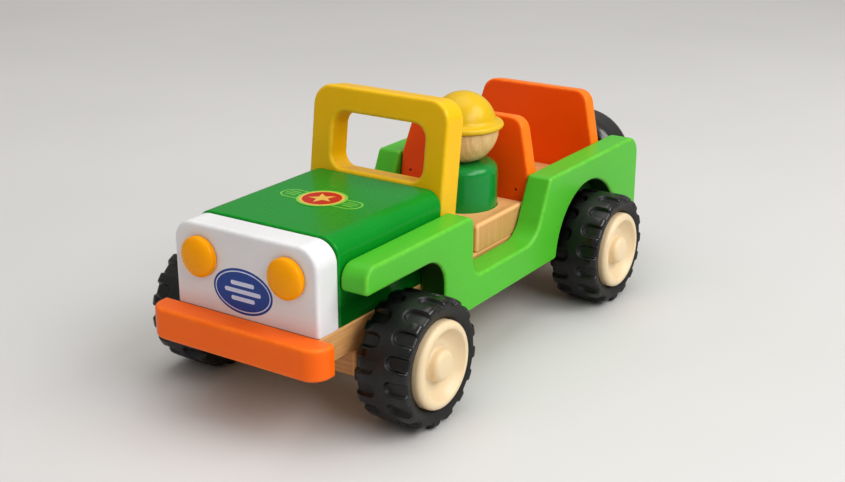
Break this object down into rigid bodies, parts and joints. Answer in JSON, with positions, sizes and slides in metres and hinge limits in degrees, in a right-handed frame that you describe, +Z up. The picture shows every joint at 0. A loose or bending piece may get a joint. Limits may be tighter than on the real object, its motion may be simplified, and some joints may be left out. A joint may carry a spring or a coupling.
{
  "type": "wooden pull-back toy car",
  "caption": "Open-topped wooden toy car with a peg driver, chunky tyres, a rear spare wheel and a hidden pull-back spring motor on the rear axle.",
  "frame": {"origin": "on the ground under the middle of the bounding box", "axes": "+Z up, the car faces -Y, +X is the car's left side; the wheel axles lie along X"},
  "size_m": [0.1282, 0.2728, 0.1108],
  "materials": {
    "beech": "smooth sanded beech, clear lacquer",
    "light_green_paint": "satin light green paint on wood",
    "dark_green_paint": "satin dark green paint on wood",
    "yellow_paint": "gloss yellow paint on wood",
    "orange_paint": "gloss orange paint on wood",
    "white_paint": "satin white paint on wood",
    "amber_paint": "gloss amber paint on turned wood",
    "tyre": "matt black moulded rubber",
    "cream_plastic": "glossy cream moulded plastic",
    "steel": "bright drawn steel",
    "grey_plastic": "matt grey moulded plastic",
    "white_plastic": "natural white moulded plastic",
    "blue_plastic": "matt blue moulded plastic",
    "spring_steel": "blued spring steel strip"
  },
  "bodies": {
    "car_body": {"chassis_board": "beech", "compound_shaft": "steel", "front_axle_block": "beech", "front_bumper": "orange_paint", "front_seat_back": "orange_paint", "front_seat_base": "beech", "grille_panel": "white_paint", "headlight_left": "amber_paint", "headlight_right": "amber_paint", "hood_block": "dark_green_paint", "mainspring_arbor": "steel", "motor_case_left": "grey_plastic", "motor_case_right": "grey_plastic", "motor_screw_front": "steel", "motor_screw_rear": "steel", "rear_axle_block_left": "beech", "rear_axle_block_right": "beech", "rear_seat_back": "orange_paint", "rear_seat_base": "beech", "seat_nail_left": "steel", "seat_nail_right": "steel", "side_panel_left": "light_green_paint", "side_panel_right": "light_green_paint", "spare_pin": "steel", "tail_block": "beech", "windshield_frame": "yellow_paint"},
    "front_wheels": {"front_axle": "steel", "front_left_hub": "cream_plastic", "front_left_tyre": "tyre", "front_right_hub": "cream_plastic", "front_right_tyre": "tyre"},
    "rear_wheels": {"rear_axle": "steel", "rear_left_hub": "cream_plastic", "rear_left_tyre": "tyre", "rear_right_hub": "cream_plastic", "rear_right_tyre": "tyre", "axle_gear": "white_plastic"},
    "transfer_gear": {"compound_gear": "blue_plastic"},
    "spring_wheel": {"mainspring_wheel": "white_plastic", "mainspring_drum": "grey_plastic", "mainspring": "spring_steel"},
    "driver": {"driver_body": "dark_green_paint", "driver_head": "beech", "driver_helmet": "yellow_paint", "neck_dowel": "beech"},
    "spare_wheel": {"spare_hub": "cream_plastic", "spare_tyre": "tyre"}
  },
  "joints": [
    {"name": "front_axle_spin", "type": "hinge", "parent": "car_body", "child": "front_wheels", "pos_m": [0, -0.08935, 0.0252], "axis": [1, 0, 0], "continuous": true},
    {"name": "rear_axle_spin", "type": "hinge", "parent": "car_body", "child": "rear_wheels", "pos_m": [0, 0.06065, 0.0252], "axis": [1, 0, 0], "continuous": true},
    {"name": "transfer_gear_spin", "type": "hinge", "parent": "car_body", "child": "transfer_gear", "pos_m": [0, 0.04835, 0.02835], "axis": [1, 0, 0], "continuous": true},
    {"name": "spring_wheel_spin", "type": "hinge", "parent": "car_body", "child": "spring_wheel", "pos_m": [0, 0.03524, 0.02555], "axis": [1, 0, 0], "continuous": true},
    {"name": "driver_lift", "type": "slide", "parent": "car_body", "child": "driver", "axis": [0, 0, 1], "range_m": [0, 0.03]},
    {"name": "spare_wheel_spin", "type": "hinge", "parent": "car_body", "child": "spare_wheel", "pos_m": [0.009, 0.12, 0.0458], "axis": [0, 1, 0], "continuous": true}
  ],
  "couplings": [
    {"joint": "transfer_gear_spin", "follows": "rear_axle_spin", "ratio": -0.5},
    {"joint": "spring_wheel_spin", "follows": "rear_axle_spin", "ratio": 0.17857}
  ]
}
